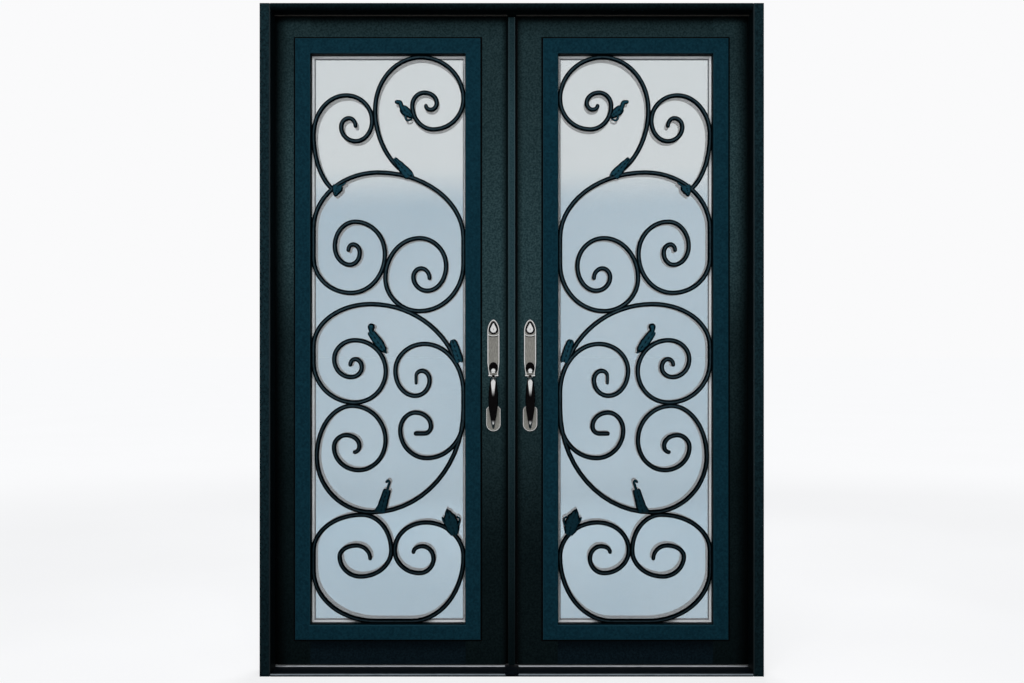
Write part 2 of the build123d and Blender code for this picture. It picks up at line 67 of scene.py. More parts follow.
# Scroll bars, through their quarter turn points in pixels of the left leaf, from a curled end onwards; then
# the bar that sets off level, how much of its last turn a bar makes and how thin its tip is drawn
SCROLL_LEFT, SCROLL_RIGHT = 313.3, 463.6
SCROLL_TOP, SCROLL_BOTTOM = 57.5, 620.4
SCROLLS = {
    "crown_right": [
        (426, 106), (431, 109.8), (436.8, 103), (424.5, 92.8), (412.3, 106), (433.5, 129.5),
        (463.6, 99), (421, 57.5), (375, 110), (430, 180),
    ],
    "crown_left": [
        (355.3, 126), (349, 118.3), (341, 127), (355.5, 141.3), (372, 121), (346, 95.5),
        (313.3, 135), (345, 194),
    ],
    "upper_left": [
        (348.2, 250), (352.9, 244.4), (359.6, 252.8), (349.6, 264.7), (334.6, 246), (355.1, 221.7),
        (384.9, 254), (350.7, 292.8), (313.3, 258), (313.3, 228), (378, 172.5),
    ],
    "upper_right": [
        (429.5, 278), (421.2, 268.3), (413.4, 277), (427.3, 290.6), (446.2, 266), (419.6, 238.1),
        (385.3, 278), (419.5, 311), (463.6, 264), (463.6, 238), (378, 172.5),
    ],
    "middle_upper": [
        (350.1, 364.5), (355.1, 358.9), (361.6, 367), (350.7, 376.9), (334, 359), (354.6, 340),
        (385.7, 371), (354.5, 402.3), (313.3, 362), (313.3, 346), (370.7, 303.9), (462, 392),
    ],
    "middle_right": [
        (416, 383), (416, 376), (421.8, 370.6), (429.6, 380), (415.1, 395.6), (395.3, 370.6),
        (424.6, 343.7), (463.6, 392), (463.6, 418), (427, 457.8), (400.2, 430), (415.5, 412.3),
        (431, 426), (424.5, 433.2), (416, 433.2),
    ],
    "middle_lower": [
        (354.5, 451.8), (359.2, 445.5), (346, 434.8), (333.8, 447), (358.5, 469.8), (385.5, 440),
        (352, 405.5), (316.5, 456), (372, 511.8), (463.6, 408),
    ],
    "lower_left": [
        (370, 558), (356.2, 545), (339.4, 556), (360.5, 576), (391.2, 550), (362, 514.3),
        (313.3, 550), (313.3, 570), (375, 620.4), (394, 620.4),
    ],
    "lower_right": [
        (413.5, 551.5), (422.5, 545.8), (433.6, 558), (419.5, 572.6), (394.6, 549.5), (426, 522),
        (463.6, 556), (412, 620.4), (394, 620.4),
    ],
}
LEVEL_START = "middle_lower"
LAST_TURN_SHARES = {"crown_right": 0.75, "crown_left": 0.72, "middle_upper": 0.78}
TIP_SHARES = {"middle_right": 0.62}
PLAIN_TIP_SHARE = 0.86
TURN_STEPS = 14
STRAIGHT_STEPS = 3
BAR_SIDES = 18
TIP_STEPS = 16
CAP_STEPS = 4
CAP_OPENING = 0.4
HAMMER_SHARE = 0.01
HAMMER_QUICK, HAMMER_SLOW = 1.9, 0.37
BAR_SWELL = 1.06

# Cast leaves in pixels of the left leaf: root and tip of the blade, its half widths as share of length and
# pixels, the curled tail as its path with its first and last radius, and the path of a small lobe
LEAVES = [
    {
        "root": (413, 118), "tip": (401.6, 107.8),
        "widths": ((0, 1.2), (0.2, 2.8), (0.4, 4.3), (0.6, 4.7), (0.82, 4.6), (0.95, 4.0), (1, 2.6)),
        "tail": (((403, 110.5), (401.4, 106.6), (400.2, 103), (396.8, 102.4)), (2.5, 2.1)),
        "lobe": ((405.6, 116.6), (406.2, 119.6), (408.4, 120.8), (411.4, 119.6)),
    },
    {
        "root": (409.6, 176.4), "tip": (394.2, 158.8),
        "widths": ((0, 4.8), (0.1, 5.3), (0.23, 5.2), (0.6, 4.2), (0.9, 2.9), (0.985, 2.6), (1, 2.2)),
        "tail": None,
        "lobe": ((410.8, 173), (412.6, 174.8), (412.6, 177)),
    },
    {
        "root": (338, 185.8), "tip": (334.6, 196.6),
        "widths": ((0, 5.2), (0.3, 5.6), (0.55, 4.4), (0.82, 2.4), (1, 0.7)),
        "tail": (((341, 187.5), (339.2, 191.6), (337.4, 194.6)), (1.6, 0.8)),
        "lobe": ((340, 186.4), (343, 184.9), (345.4, 183.2)),
    },
    {
        "root": (386, 352.6), "tip": (370, 331),
        "widths": ((0, 1.0), (0.15, 3.6), (0.45, 4.8), (0.75, 4.4), (0.93, 3.9), (1, 2.9)),
        "tail": (((372, 333), (371.3, 330), (371.4, 326.8)), (1.7, 3.7)),
        "lobe": ((380, 345), (383.5, 348), (386.4, 352.6)),
    },
    {
        "root": (459.8, 362), "tip": (452.4, 339.4),
        "widths": ((0, 4.0), (0.15, 4.8), (0.55, 4.7), (0.85, 4.1), (0.96, 3.0), (1, 1.6)),
        "tail": None,
        "lobe": ((459, 356), (461.6, 359), (462, 361.6)),
    },
    {
        "root": (380.8, 511.3), "tip": (387.3, 489),
        "widths": ((0, 5.4), (0.3, 5.0), (0.7, 4.4), (0.94, 4.1), (1, 3.4)),
        "tail": (((387, 491), (388.6, 485), (389.6, 481.8), (388, 480), (386.6, 481.4)), (1.4, 1.3)),
        "lobe": ((379, 505), (376.6, 508), (375.4, 511)),
    },
    {
        "root": (455, 534), "tip": (447, 508.3),
        "widths": ((0, 4.2), (0.2, 6.6), (0.45, 7.4), (0.65, 6.6), (0.85, 3.6), (1, 0.7)),
        "tail": (((455, 527), (459, 523.5), (459.8, 518.5), (457.4, 516)), (1.5, 0.9)),
        "lobe": ((448, 524), (444, 521), (442.6, 517)),
    },
]
LEAF_LENGTH_STEPS = 30
LEAF_WIDTH_STEPS = 14
LEAF_CREST = 0.0155
LEAF_EDGE = 0.004
LEAF_BACK = 0.002
SWELL_LEAST, SWELL_MORE = 0.72, 0.28
SWELL_START, SWELL_SPAN = 0.15, 0.75
RIB_WIDTH_SHARE = 0.13
RIB_DEPTH = 0.0026
VEIN_DEPTH = 0.0016
VEIN_SLANT = 1.6
VEINS = 5
LOBE_PIXELS = 1.3
LOBE_TIP_SHARE = 0.7
CURL_FORWARD_SHARE = 0.75
CURL_STEPS = 6
CURL_SIDES = 12

# Handle trim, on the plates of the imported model
PLATE_HALF = 0.023
PLATE_ARCH = 0.042
PLATE_BOTTOM = 1.106
PLATE_WAIST_HALF = 0.017
PLATE_TAPER = 0.048
PLATE_THICKNESS = 0.007
ARCH_BULGE_SHARE = 0.66
FOOT_HEIGHT = 0.094
FOOT_SLOPE = 0.009
RIM_RADIUS = 0.0023
FOOT_RIM_RADIUS = 0.0016
ARCH_STEPS = 10
BEAD_SIDES = 10
COLLAR_HALF = 0.0165
COLLAR_RADIUS = 0.0034
COLLAR_PROUD_SHARE = 0.6
COLLAR_LIFT = 0.003
COLLAR_SIDES = 14
LEDGE_DROP = 0.010
LEDGE_RISE = 0.005
LEDGE_RADIUS = 0.0021
# The black band in the lock's recess, the sheet in its keyway, the groove under the ledge and the thumb's
# dish are painted shadow; the dish is partly a dark rosette
LEDGE_GROOVE = 0.0045
GROOVE_RADIUS = 0.0014
GROOVE_SUNK_SHARE = 0.5
DROP_RADIUS = 0.0138
DROP_TIP_RADIUS = 0.004
RECESS_WIDTH = 0.0046
RECESS_DEPTH = 0.0025
SHADOW_SHEET_THICKNESS = 0.0004
KEYWAY_HALF = 0.0012
KEYWAY_HALF_LENGTH = 0.0036
DISH_HALF = 0.0172
DISH_HALF_HEIGHT = 0.0215
DISH_LIFT = 0.0035
DISH_PROUD = 0.0008
DISH_PROFILE = ((1, 0), (0.99, 0.6), (0.95, 1), (0.88, 0.8), (0.8, 0.4), (0.4, 0.3), (0.04, 0.3))
PAD_RADII = (0.0088, 0.006, 0.0085)
PAD_BACK = 0.009
PAD_RISE = 0.0095
PAD_STEPS = 12
TURN_POINTS = 40

# Edges that turn by more than this stay sharp, and a bevel has this many strips
SHARP_ANGLE = math.radians(40)
BEVEL_SEGMENTS = 3

# Glass: a clear pane and a thin coated one behind it, on a spacer with a line of sealant inside; then the
# light's liner, near black as painted shade of its reveal, and a black line round the moulding, its painted
# shadow
PANE_THICKNESS = 0.004
COATED_THICKNESS = 0.0016
SPACER_WIDTH = 0.009
SEALANT_WIDTH = 0.0026
LINER_THICKNESS = 0.0012
SHADOW_LINE_WIDTH = 0.0065
SHADOW_LINE_PROUD = 0.0006

# Studio: how strongly the sky lights the door, the floor's own glow, less round the door for its shadow,
# the floor, and the lamps by name, place, aim, size and power
SKY_LIGHT = 0.18
NEAR_GLOW = 0.8
NEAR_REACH, FAR_REACH = 2.0, 9.0
FLOOR_SIZE = 400.0
FLOOR_ROUGHNESS = 0.9
FLOOR_CELLS, FLOOR_DETAIL = 0.6, 2.0
LAMPS = (
    ("key", (-0.5, -4.4, 2.9), (0, 0, 1.4), 2.4, 125),
    ("left_fill", (-3.0, -3.8, 2.6), (0, 0, 1.4), 2.0, 26),
    ("right_fill", (3.0, -3.8, 2.6), (0, 0, 1.4), 2.0, 22),
    ("rim", (0.5, 3.5, 3.6), (0, 0, 1.2), 2.0, 90),
)

# Seals and sill keeper
SEAL_TIP_X = 0.0224
SEAL_FRONT = 0.026
SEAL_BACK = 0.030
HEAD_SEAL_FRONT = -0.002
HEAD_SEAL_BACK = 0.007
HEAD_SEAL_DROP = 0.003
HEAD_SEAL_GAP = 0.016
KEEPER_HALF = 0.026
KEEPER_HEIGHT = 0.0155
KEEPER_BEVEL = 0.002

# Colours, 0 to 255
# The third colour of the frame, the cover strip and the moulding is a painted highlight along their arrises
FRAME_DARK, FRAME_LIGHT, FRAME_HIGHLIGHT = (11, 25, 30), (25, 45, 51), (42, 52, 56)
LEAF_DARK, LEAF_LIGHT = (28, 48, 52), (50, 72, 76)
# The foot rail's two tones are the leaf's, made darker as painted shade at the bottom of the door
FOOT_DARK, FOOT_LIGHT = (8, 18, 24), (17, 30, 37)
COVER_DARK, COVER_LIGHT, COVER_HIGHLIGHT = (31, 52, 57), (46, 68, 74), (66, 88, 94)
MOULDING_DARK, MOULDING_LIGHT, MOULDING_HIGHLIGHT = (10, 38, 49), (17, 51, 63), (24, 57, 69)
# The liner's near-black tones are painted shade of the light's reveal
LINER_DARK, LINER_LIGHT = (2, 10, 14), (6, 18, 23)
# The light colour of the iron and of the cast leaves is their painted highlight where they face the front
IRON_DARK, IRON_HIGHLIGHT = (3, 10, 14), (48, 65, 73)
CAST_DARK, CAST_HIGHLIGHT = (2, 9, 12), (29, 66, 80)
NICKEL_DARK, NICKEL_LIGHT = (110, 109, 104), (146, 145, 139)
POLISHED_DARK, POLISHED_LIGHT = (196, 197, 196), (226, 227, 226)
BLACK_DARK, BLACK_LIGHT = (7, 6, 7), (16, 15, 16)
SILL_DARK, SILL_LIGHT = (5, 9, 13), (12, 18, 24)
TRIM_DARK, TRIM_LIGHT = (196, 203, 209), (226, 231, 235)
NOSING_DARK, NOSING_LIGHT = (100, 109, 116), (132, 141, 148)
RUBBER_DARK, RUBBER_LIGHT = (3, 4, 5), (8, 9, 10)
SEAL_DARK, SEAL_LIGHT = (52, 50, 48), (68, 66, 63)
SPACER_DARK, SPACER_LIGHT = (236, 239, 241), (246, 248, 249)
SEALANT_DARK, SEALANT_LIGHT = (112, 116, 120), (134, 138, 142)
PANE_COLOUR = (200, 214, 220)
# The coated pane's top colour is a painted reflection of the sky
COATING_DARK, COATING_LIGHT, COATING_SKY_REFLECTION = (136, 170, 188), (154, 182, 197), (203, 211, 213)
FLOOR_DARK, FLOOR_LIGHT = (158, 159, 160), (166, 167, 168)
GLOW_COLOUR = (243, 243, 244)
BACKDROP_COLOUR = (250, 250, 251)
SKY_COLOUR = (232, 240, 246)

# Painted shade: where a paint or the iron is made darker for shade, by the jambs, in the reveals and the
# meeting gap, under the head and the moulding, and towards the bottom and top of the door: an axis, where
# it is darkest and where that ends, in metres from the middle of the door and from the floor, and the share
# of the colour that is left there
LEAF_PAINTED_SHADE = (
    ("X", 0.895, 0.815, 0.3), ("X", 0.018, 0.045, 0.25), ("Z", 0.38, 1.1, 0.24), ("Z", 0.9, 1.17, 0.67),
    ("Z", 2.455, 2.43, 0.2), ("Z", 2.46, 2.36, 0.6), ("Z", 2.3, 1.5, 0.66),
)
HINGE_PAINTED_SHADE = (
    ("X", 0.895, 0.835, 0.05), ("Z", 0.1, 0.5, 0.7), ("Z", 0.7, 1.1, 0.5), ("Z", 1.2, 1.6, 0.37),
    ("Z", 2.455, 2.43, 0.2), ("Z", 2.4, 1.9, 0.6),
)
FOOT_PAINTED_SHADOW = (("Z", 0.108, 0.05, 0.4),)
FRAME_PAINTED_SHADE = (("Z", 0.1, 1.2, 0.62), ("X", 0.8912, 0.8935, 0.2))
HEAD_PAINTED_SHADE = (("Z", 2.463, 2.5, 0.14),)
COVER_PAINTED_SHADE = (
    ("X", 0.0135, 0.0126, 0.13), ("Z", 0.1, 0.5, 0.45), ("Z", 0.45, 1.25, 0.27), ("Z", 2.4, 2.05, 0.6),
)
IRON_PAINTED_SHADE = (("Z", 0.75, 1.1, 0.52),)

# Where a bare metal turns black: an axis, where that starts and where it is full
PLATE_BLACK = ("Y", 0.0178, 0.0172)
# The grip turns black below these heights; its bright neck above them is a painted highlight
GRIP_BLACK = ("Z", 1.065, 1.03)
THUMB_BLACK = ("Y", -0.008, 0.004)

# The grip's painted highlight, a bright strip down its black body: its middle, its top and half width
# there, how that narrows downwards and how softly it ends, and the heights between which the grip's foot
# turns bright
STRIP_X = 0.069
STRIP_TOP = 1.095
STRIP_HALF = 0.0085
STRIP_TAPER = 0.11
STRIP_SOFT = 0.002
GRIP_FOOT = (0.928, 0.944)

# Between which heights the coating pales, as a painted reflection of the sky
SKY_REFLECTION_START, SKY_REFLECTION_END = 1.73, 1.92

# Paints: how strongly they shine, how their roughness spreads, the relief and detail of their grain and
# between which parts of the normal an edge turns to its painted highlight; then for each surface its
# grain's cells to a metre, depth and roughness
PAINT_SHINE = 0.015
PAINT_SPREAD = 0.2
PAINT_RELIEF = 0.6
PAINT_DETAIL = 4.0
HIGHLIGHT_START, HIGHLIGHT_END = 0.97, 0.82
FRAME_SURFACE = (130, 0.0004, 0.5)
LEAF_SURFACE = (150, 0.0006, 0.55)
COVER_SURFACE = (150, 0.0004, 0.5)
MOULDING_SURFACE = (120, 0.0003, 0.5)
SILL_SURFACE = (180, 0.0002, 0.5)
RUBBER_SURFACE = (300, 0.0002, 0.7)
SEALANT_SURFACE = (300, 0.0001, 0.6)

# Iron: its roughness and grain, the value at which its painted highlight is full, and the part of its
# normal where that painted highlight on the faces towards the front begins
IRON_ROUGHNESS = 0.42
IRON_CELLS, IRON_DETAIL = 120, 4.0
IRON_RELIEF, IRON_DEPTH = 0.5, 0.0005
FULL_HIGHLIGHT = 0.6
SCROLL_START, CAST_START = -0.9, -0.7

# Bare metals: their grain and how their roughness spreads; then for each surface its roughness, and how the
# grain is drawn out along the axes
METAL_CELLS, METAL_DETAIL = 900, 3.0
METAL_RELIEF, METAL_DEPTH = 0.25, 0.00012
METAL_SPREAD = 0.25
SATIN_SURFACE = (0.32, (1, 1, 0.08))
POLISHED_SURFACE = (0.14, (1, 1, 1))
BLACK_SURFACE = (0.25, (1, 1, 1))
GRIP_SURFACE = (0.18, (1, 1, 0.2))
THUMB_SURFACE = (0.18, (1, 1, 1))
TRIM_SURFACE = (0.34, (0.05, 1, 1))
NOSING_SURFACE = (0.4, (0.05, 1, 1))

# Panes: their roughness, the cloudiness of their colour, and how much of the light each one stops
PANE_ROUGHNESS = 0.01
PANE_CELLS, PANE_DETAIL = 1.6, 1.5
CLEAR_ALPHA, COATED_ALPHA = 0.03, 0.5

# Between which values of a noise a colour goes from dark to light
TONE_SPREAD = (0.35, 0.65)
PANE_SPREAD = (0.3, 0.7)


def linear(colour):
    """A colour written in 0 to 255 steps as the linear colour that a shader takes."""
    scaled = [c / 255 for c in colour]
    return tuple(c / 12.92 if c <= 0.04045 else ((c + 0.055) / 1.055) ** 2.4 for c in scaled) + (1.0,)


# Materials, by name
MATERIALS = {}


def new_material(name, roughness, metallic=0.0, specular=0.5):
    """A material, kept by its name, with a plain surface shader whose own sockets hold its constants."""
    material = bpy.data.materials.new(name)
    MATERIALS[name] = material
    material.use_nodes = True
    shader = material.node_tree.nodes["Principled BSDF"]
    shader.inputs["Roughness"].default_value = roughness
    shader.inputs["Metallic"].default_value = metallic
    shader.inputs["Specular IOR Level"].default_value = specular
    return material, shader


def noise(material, scale, detail, stretch=(1, 1, 1)):
    """A noise over the object's own coordinates, with that many cells to a metre."""
    tree = material.node_tree
    place = tree.nodes.new("ShaderNodeTexCoord")
    mapping = tree.nodes.new("ShaderNodeMapping")
    mapping.inputs["Scale"].default_value = stretch
    texture = tree.nodes.new("ShaderNodeTexNoise")
    texture.inputs["Scale"].default_value = scale
    texture.inputs["Detail"].default_value = detail
    tree.links.new(place.outputs["Object"], mapping.inputs["Vector"])
    tree.links.new(mapping.outputs["Vector"], texture.inputs["Vector"])
    return texture


def two_tone(material, texture, dark, light, spread=TONE_SPREAD):
    """A colour between two tones by a texture."""
    ramp = material.node_tree.nodes.new("ShaderNodeValToRGB")
    for element, position, tone in zip(ramp.color_ramp.elements, spread, (dark, light)):
        element.position = position
        element.color = linear(tone)
    material.node_tree.links.new(texture.outputs["Fac"], ramp.inputs["Fac"])
    return ramp.outputs["Color"]


def coordinates(material, kind, signed=False):
    """The three parts of the object's own coordinates or normal, without their signs unless asked."""
    tree = material.node_tree
    place = tree.nodes.new("ShaderNodeTexCoord")
    outlet = place.outputs[kind]
    if not signed:
        size = tree.nodes.new("ShaderNodeVectorMath")
        size.operation = "ABSOLUTE"
        tree.links.new(outlet, size.inputs[0])
        outlet = size.outputs["Vector"]
    parts = tree.nodes.new("ShaderNodeSeparateXYZ")
    tree.links.new(outlet, parts.inputs["Vector"])
    return parts.outputs


def calculated(material, operation, first, second=0.0):
    """What an operation makes of a socket and another one or a number."""
    node = material.node_tree.nodes.new("ShaderNodeMath")
    node.operation = operation
    material.node_tree.links.new(first, node.inputs[0])
    if isinstance(second, float):
        node.inputs[1].default_value = second
    else:
        material.node_tree.links.new(second, node.inputs[1])
    return node.outputs[0]


def fade(material, value, start, end, low=0.0):
    """A soft step of a value, from low at its start to 1 at its end."""
    step = material.node_tree.nodes.new("ShaderNodeMapRange")
    step.interpolation_type = "SMOOTHSTEP"
    step.inputs["From Min"].default_value = start
    step.inputs["From Max"].default_value = end
    step.inputs["To Min"].default_value = low
    material.node_tree.links.new(value, step.inputs["Value"])
    return step.outputs["Result"]


def blended(material, share, first, second):
    """A colour that goes from one to another by a share; each is a socket or a plain colour."""
    mix = material.node_tree.nodes.new("ShaderNodeMixRGB")
    for outlet, name in ((share, "Fac"), (first, "Color1"), (second, "Color2")):
        if isinstance(outlet, tuple):
            mix.inputs[name].default_value = linear(outlet)
        else:
            material.node_tree.links.new(outlet, mix.inputs[name])
    return mix.outputs["Color"]


def painted_edge_highlights(material, colour, edge):
    """A colour painted lighter where the surface turns from one axis to another: a painted highlight along
    an arris.
    """
    parts = coordinates(material, "Normal")
    most = calculated(material, "MAXIMUM", parts["X"], parts["Y"])
    most = calculated(material, "MAXIMUM", most, parts["Z"])
    return blended(material, fade(material, most, HIGHLIGHT_START, HIGHLIGHT_END), colour, edge)


def with_painted_shade(material, colour, painted_shade):
    """A colour with painted shade, darker along some stretches of the door."""
    parts = coordinates(material, "Object")
    for axis, start, end, low in painted_shade:
        scale = material.node_tree.nodes.new("ShaderNodeVectorMath")
        scale.operation = "SCALE"
        material.node_tree.links.new(colour, scale.inputs[0])
        material.node_tree.links.new(fade(material, parts[axis], start, end, low), scale.inputs["Scale"])
        colour = scale.outputs["Vector"]
    return colour


def spread_roughness(material, shader, texture, roughness, spread):
    """Lets the roughness follow a texture, by a share of itself either way."""
    tree = material.node_tree
    step = tree.nodes.new("ShaderNodeMapRange")
    step.inputs["To Min"].default_value = roughness * (1 - spread)
    step.inputs["To Max"].default_value = roughness * (1 + spread)
    tree.links.new(texture.outputs["Fac"], step.inputs["Value"])
    tree.links.new(step.outputs["Result"], shader.inputs["Roughness"])


def bump(material, shader, texture, strength, depth):
    """Raises the surface by a texture."""
    tree = material.node_tree
    relief = tree.nodes.new("ShaderNodeBump")
    relief.inputs["Strength"].default_value = strength
    relief.inputs["Distance"].default_value = depth
    tree.links.new(texture.outputs["Fac"], relief.inputs["Height"])
    tree.links.new(relief.outputs["Normal"], shader.inputs["Normal"])


def paint(name, dark, light, surface, edge=None, painted_shade=()):
    """A paint with a hammered grain, with a painted highlight along its edges and painted shade if they are
    given.
    """
    cells, depth, roughness = surface
    material, shader = new_material(name, roughness, specular=PAINT_SHINE)
    texture = noise(material, cells, PAINT_DETAIL)
    colour = two_tone(material, texture, dark, light)
    if edge:
        colour = painted_edge_highlights(material, colour, edge)
    colour = with_painted_shade(material, colour, painted_shade)
    material.node_tree.links.new(colour, shader.inputs["Base Color"])
    spread_roughness(material, shader, texture, roughness, PAINT_SPREAD)
    bump(material, shader, texture, PAINT_RELIEF, depth)


def highlit_iron(name, dark, light, start):
    """Dark iron with a mottled painted highlight where it faces the front, and painted shade lower down;
    start is the part of its normal where the highlight begins.
    """
    material, shader = new_material(name, IRON_ROUGHNESS, specular=0.0)
    texture = noise(material, IRON_CELLS, IRON_DETAIL)
    parts = coordinates(material, "Normal", signed=True)
    crest = fade(material, parts["Y"], start, -1.0)
    highlight = calculated(material, "MULTIPLY", crest, texture.outputs["Fac"])
    colour = blended(material, fade(material, highlight, 0.0, FULL_HIGHLIGHT), dark, light)
    colour = with_painted_shade(material, colour, IRON_PAINTED_SHADE)
    material.node_tree.links.new(colour, shader.inputs["Base Color"])
    bump(material, shader, texture, IRON_RELIEF, IRON_DEPTH)


def beside_highlight_strip(material, share):
    """A share that is full beside the grip's painted highlight strip, and none at the grip's foot."""
    parts = coordinates(material, "Object")
    aside = calculated(material, "SUBTRACT", parts["X"], STRIP_X)
    aside = calculated(material, "ABSOLUTE", aside)
    narrowing = calculated(material, "MULTIPLY", parts["Z"], STRIP_TAPER)
    edge = STRIP_HALF - STRIP_TAPER * STRIP_TOP
    flank = fade(material, calculated(material, "SUBTRACT", aside, narrowing), edge, edge + STRIP_SOFT)
    share = calculated(material, "MAXIMUM", share, flank)
    return calculated(material, "MULTIPLY", share, fade(material, parts["Z"], *GRIP_FOOT))


def metal(name, dark, light, surface, black=None, highlight_strip=False):
    """A bare metal with a fine drawn grain, black past a place, if given, and beside a grip's painted
    highlight strip.
    """
    roughness, stretch = surface
    material, shader = new_material(name, roughness, metallic=1.0)
    texture = noise(material, METAL_CELLS, METAL_DETAIL, stretch)
    colour = two_tone(material, texture, dark, light)
    if black:
        axis, start, end = black
        share = fade(material, coordinates(material, "Object", signed=True)[axis], start, end)
        if highlight_strip:
            share = beside_highlight_strip(material, share)
        colour = blended(material, share, colour, two_tone(material, texture, BLACK_DARK, BLACK_LIGHT))
    material.node_tree.links.new(colour, shader.inputs["Base Color"])
    spread_roughness(material, shader, texture, roughness, METAL_SPREAD)
    bump(material, shader, texture, METAL_RELIEF, METAL_DEPTH)


def pane(name, dark, light, top, alpha, metallic):
    """A sheet of glass that lets part of the light straight through, and pales towards its top as a painted
    reflection of the sky.
    """
    material, shader = new_material(name, PANE_ROUGHNESS, metallic=metallic)
    colour = two_tone(material, noise(material, PANE_CELLS, PANE_DETAIL), dark, light, PANE_SPREAD)
    height = fade(material, coordinates(material, "Object")["Z"], SKY_REFLECTION_START, SKY_REFLECTION_END)
    colour = blended(material, height, colour, top)
    material.node_tree.links.new(colour, shader.inputs["Base Color"])
    shader.inputs["Alpha"].default_value = alpha


# Paints, with their painted highlights and painted shade; hinge_paint, foot_paint and head_paint are copies
# of the leaf's and frame's paint with painted shade of their own
paint("frame_paint", FRAME_DARK, FRAME_LIGHT, FRAME_SURFACE, FRAME_HIGHLIGHT, FRAME_PAINTED_SHADE)
paint("leaf_paint", LEAF_DARK, LEAF_LIGHT, LEAF_SURFACE, painted_shade=LEAF_PAINTED_SHADE)
paint("hinge_paint", LEAF_DARK, LEAF_LIGHT, LEAF_SURFACE, painted_shade=HINGE_PAINTED_SHADE)
paint("foot_paint", FOOT_DARK, FOOT_LIGHT, LEAF_SURFACE, painted_shade=FOOT_PAINTED_SHADOW)
paint("cover_paint", COVER_DARK, COVER_LIGHT, COVER_SURFACE, COVER_HIGHLIGHT, COVER_PAINTED_SHADE)
paint("head_paint", FRAME_DARK, FRAME_LIGHT, FRAME_SURFACE, painted_shade=HEAD_PAINTED_SHADE)
paint("moulding_paint", MOULDING_DARK, MOULDING_LIGHT, MOULDING_SURFACE, MOULDING_HIGHLIGHT)
# The liner, darkened as painted shade of the reveal
paint("liner_paint", LINER_DARK, LINER_LIGHT, MOULDING_SURFACE)
highlit_iron("scroll_iron", IRON_DARK, IRON_HIGHLIGHT, SCROLL_START)
highlit_iron("cast_iron", CAST_DARK, CAST_HIGHLIGHT, CAST_START)
metal("satin_nickel", NICKEL_DARK, NICKEL_LIGHT, SATIN_SURFACE)
metal("plate_nickel", NICKEL_DARK, NICKEL_LIGHT, SATIN_SURFACE, PLATE_BLACK)
metal("polished", POLISHED_DARK, POLISHED_LIGHT, POLISHED_SURFACE)
# Black for the handle's painted shadow pieces
metal("black_metal", BLACK_DARK, BLACK_LIGHT, BLACK_SURFACE)
# The grip: black, with a painted highlight on its neck and down its middle
metal("grip_metal", POLISHED_DARK, POLISHED_LIGHT, GRIP_SURFACE, GRIP_BLACK, highlight_strip=True)
metal("thumb_metal", POLISHED_DARK, POLISHED_LIGHT, THUMB_SURFACE, THUMB_BLACK)
paint("sill_bronze", SILL_DARK, SILL_LIGHT, SILL_SURFACE)
metal("sill_trim", TRIM_DARK, TRIM_LIGHT, TRIM_SURFACE)
metal("sill_nosing", NOSING_DARK, NOSING_LIGHT, NOSING_SURFACE)
paint("rubber", RUBBER_DARK, RUBBER_LIGHT, RUBBER_SURFACE)
paint("head_seal", SEAL_DARK, SEAL_LIGHT, RUBBER_SURFACE)
paint("spacer", SPACER_DARK, SPACER_LIGHT, SEALANT_SURFACE)
paint("sealant", SEALANT_DARK, SEALANT_LIGHT, SEALANT_SURFACE)
pane("clear_pane", PANE_COLOUR, PANE_COLOUR, PANE_COLOUR, CLEAR_ALPHA, 0.0)
pane("coated_pane", COATING_DARK, COATING_LIGHT, COATING_SKY_REFLECTION, COATED_ALPHA, 1.0)


# Shapes


class Shape:
    """Points and faces that become one piece."""

    def __init__(self):
        self.points = []
        self.faces = []

    def add_rings(self, rings, closed=False):
        """Joins rings of as many points each; an open row of rings gets a face at each end."""
        base = len(self.points)
        count = len(rings[0])
        for ring in rings:
            self.points.extend(ring)
        spans = len(rings) if closed else len(rings) - 1
        for span in range(spans):
            here = base + span * count
            there = base + (span + 1) % len(rings) * count
            for k in range(count):
                after = (k + 1) % count
                self.faces.append((here + k, here + after, there + after, there + k))
        if not closed:
            last = base + (len(rings) - 1) * count
            self.faces.append(tuple(range(base, base + count))[::-1])
            self.faces.append(tuple(range(last, last + count)))

    def piece(self, name, material, body, slot, bevel=0.0):
        """The finished piece, with its finish, on its body."""
        mesh = bpy.data.meshes.new(name)
        mesh.from_pydata([tuple(p) for p in self.points], [], self.faces)
        tidy = bmesh.new()
        tidy.from_mesh(mesh)
        bmesh.ops.recalc_face_normals(tidy, faces=tidy.faces)
        tidy.to_mesh(mesh)
        tidy.free()
        mesh.polygons.foreach_set("use_smooth", [True] * len(mesh.polygons))
        mesh.set_sharp_from_angle(angle=SHARP_ANGLE)
        mesh.materials.append(MATERIALS[material])
        made = bpy.data.objects.new(name, mesh)
        bpy.context.scene.collection.objects.link(made)
        soften(made, bevel)
        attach(made, body)
        return made


def soften(piece, bevel):
    """Rounds the sharp edges of a piece, where it has a bevel."""
    if bevel:
        edge = piece.modifiers.new("edge", "BEVEL")
        edge.width = bevel
        edge.segments = BEVEL_SEGMENTS
        edge.limit_method = "ANGLE"
        edge.harden_normals = True


def ring_round(centre, first, second, radius, sides):
    """A ring of points round a centre, in the plane of two directions."""
    angles = [2 * math.pi * k / sides for k in range(sides)]
    return [centre + radius * (math.cos(a) * first + math.sin(a) * second) for a in angles]


def tangents(path, closed=False):
    """The direction of a path at each of its points."""
    count = len(path)
    found = []
    for k in range(count):
        before = path[(k - 1) % count] if closed or k else path[0]
        after = path[(k + 1) % count] if closed or k < count - 1 else path[-1]
        found.append((after - before).normalized())
    return found


